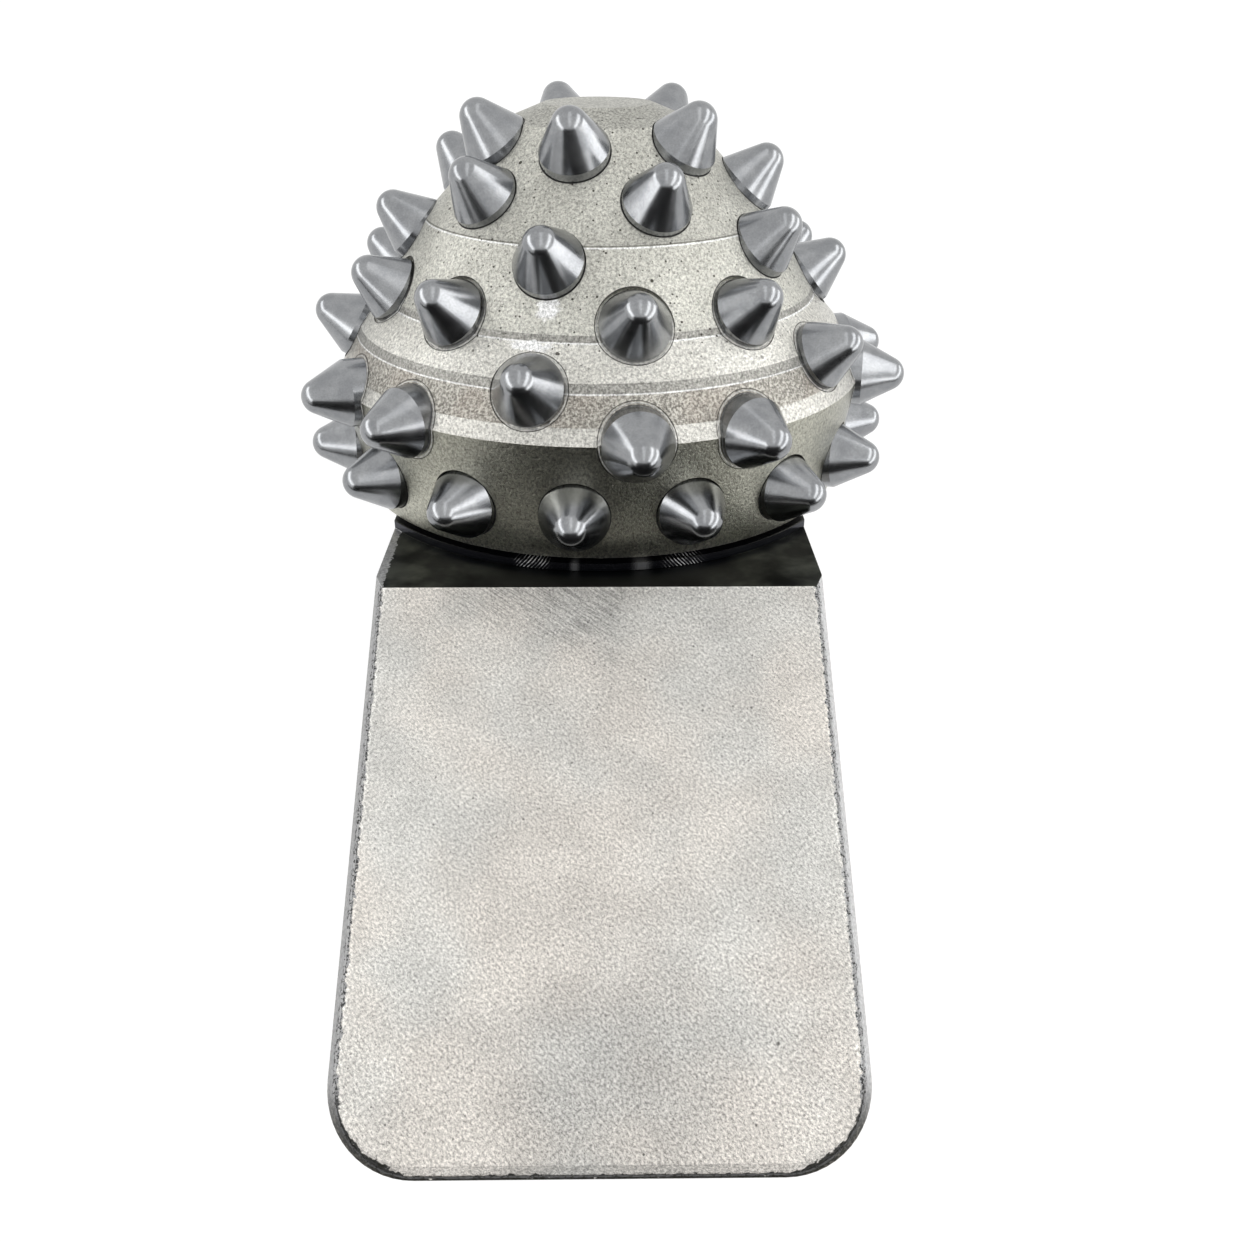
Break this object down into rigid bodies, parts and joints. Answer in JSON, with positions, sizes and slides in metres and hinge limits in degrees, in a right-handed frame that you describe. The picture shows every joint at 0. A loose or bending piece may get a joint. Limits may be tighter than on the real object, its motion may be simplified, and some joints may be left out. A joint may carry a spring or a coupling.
{
  "type": "single cone roller bit",
  "caption": "Forged leg with a flat face that carries one rolling cone, set with domed carbide teeth, on a tilted sealed bearing.",
  "frame": {"origin": "on the flat back that the leg lies on, below the middle of the edge where the front face meets the shoulder", "axes": "+Y along the leg from its foot to the cone, +Z out of the flat front face, +X to the right"},
  "size_m": [0.1489, 0.2614, 0.1291],
  "materials": {
    "leg_forging": "forged and shot blasted, shoulder milled and blackened",
    "cone_steel": "turned, hardened and blasted",
    "carbide": "tumbled bright",
    "bearing_steel": "ground",
    "bearing_bronze": "machined",
    "weld_metal": "ground weld",
    "sheet_steel": "drawn sheet",
    "blackened_steel": "turned and blackened",
    "spring_steel": "oil black",
    "seal_rubber": "moulded"
  },
  "bodies": {
    "leg": {"leg": "leg_forging", "ball_retaining_plug": "bearing_steel", "ball_plug_weld": "weld_metal", "reservoir_canister": "sheet_steel", "reservoir_diaphragm": "seal_rubber", "reservoir_cap": "blackened_steel", "cap_seal": "seal_rubber", "cap_snap_ring": "spring_steel", "grease_plug": "spring_steel"},
    "cone": {"cone_shell": "cone_steel", "nose_row_teeth": "carbide", "second_row_teeth": "carbide", "third_row_teeth": "carbide", "fourth_row_teeth": "carbide", "fifth_row_teeth": "carbide", "sixth_row_teeth": "carbide", "gage_row_teeth": "carbide", "cone_seal": "seal_rubber", "nose_bushing": "bearing_bronze", "thrust_washer": "bearing_bronze", "thrust_button": "bearing_steel"},
    "roller_set": {"bearing_rollers": "bearing_steel"},
    "ball_set": {"retaining_balls": "bearing_steel"}
  },
  "joints": [
    {"name": "cone_spin", "type": "hinge", "parent": "leg", "child": "cone", "pos_m": [0, 0.0598, 0.03551], "axis": [0, 0.5534, 0.8329], "continuous": true},
    {"name": "roller_orbit", "type": "hinge", "parent": "leg", "child": "roller_set", "pos_m": [0, 0.0598, 0.03551], "axis": [0, 0.5534, 0.8329], "continuous": true},
    {"name": "ball_orbit", "type": "hinge", "parent": "leg", "child": "ball_set", "pos_m": [0, 0.0598, 0.03551], "axis": [0, 0.5534, 0.8329], "continuous": true}
  ],
  "couplings": [
    {"joint": "roller_orbit", "follows": "cone_spin", "ratio": 0.5755},
    {"joint": "ball_orbit", "follows": "cone_spin", "ratio": 0.6108}
  ]
}
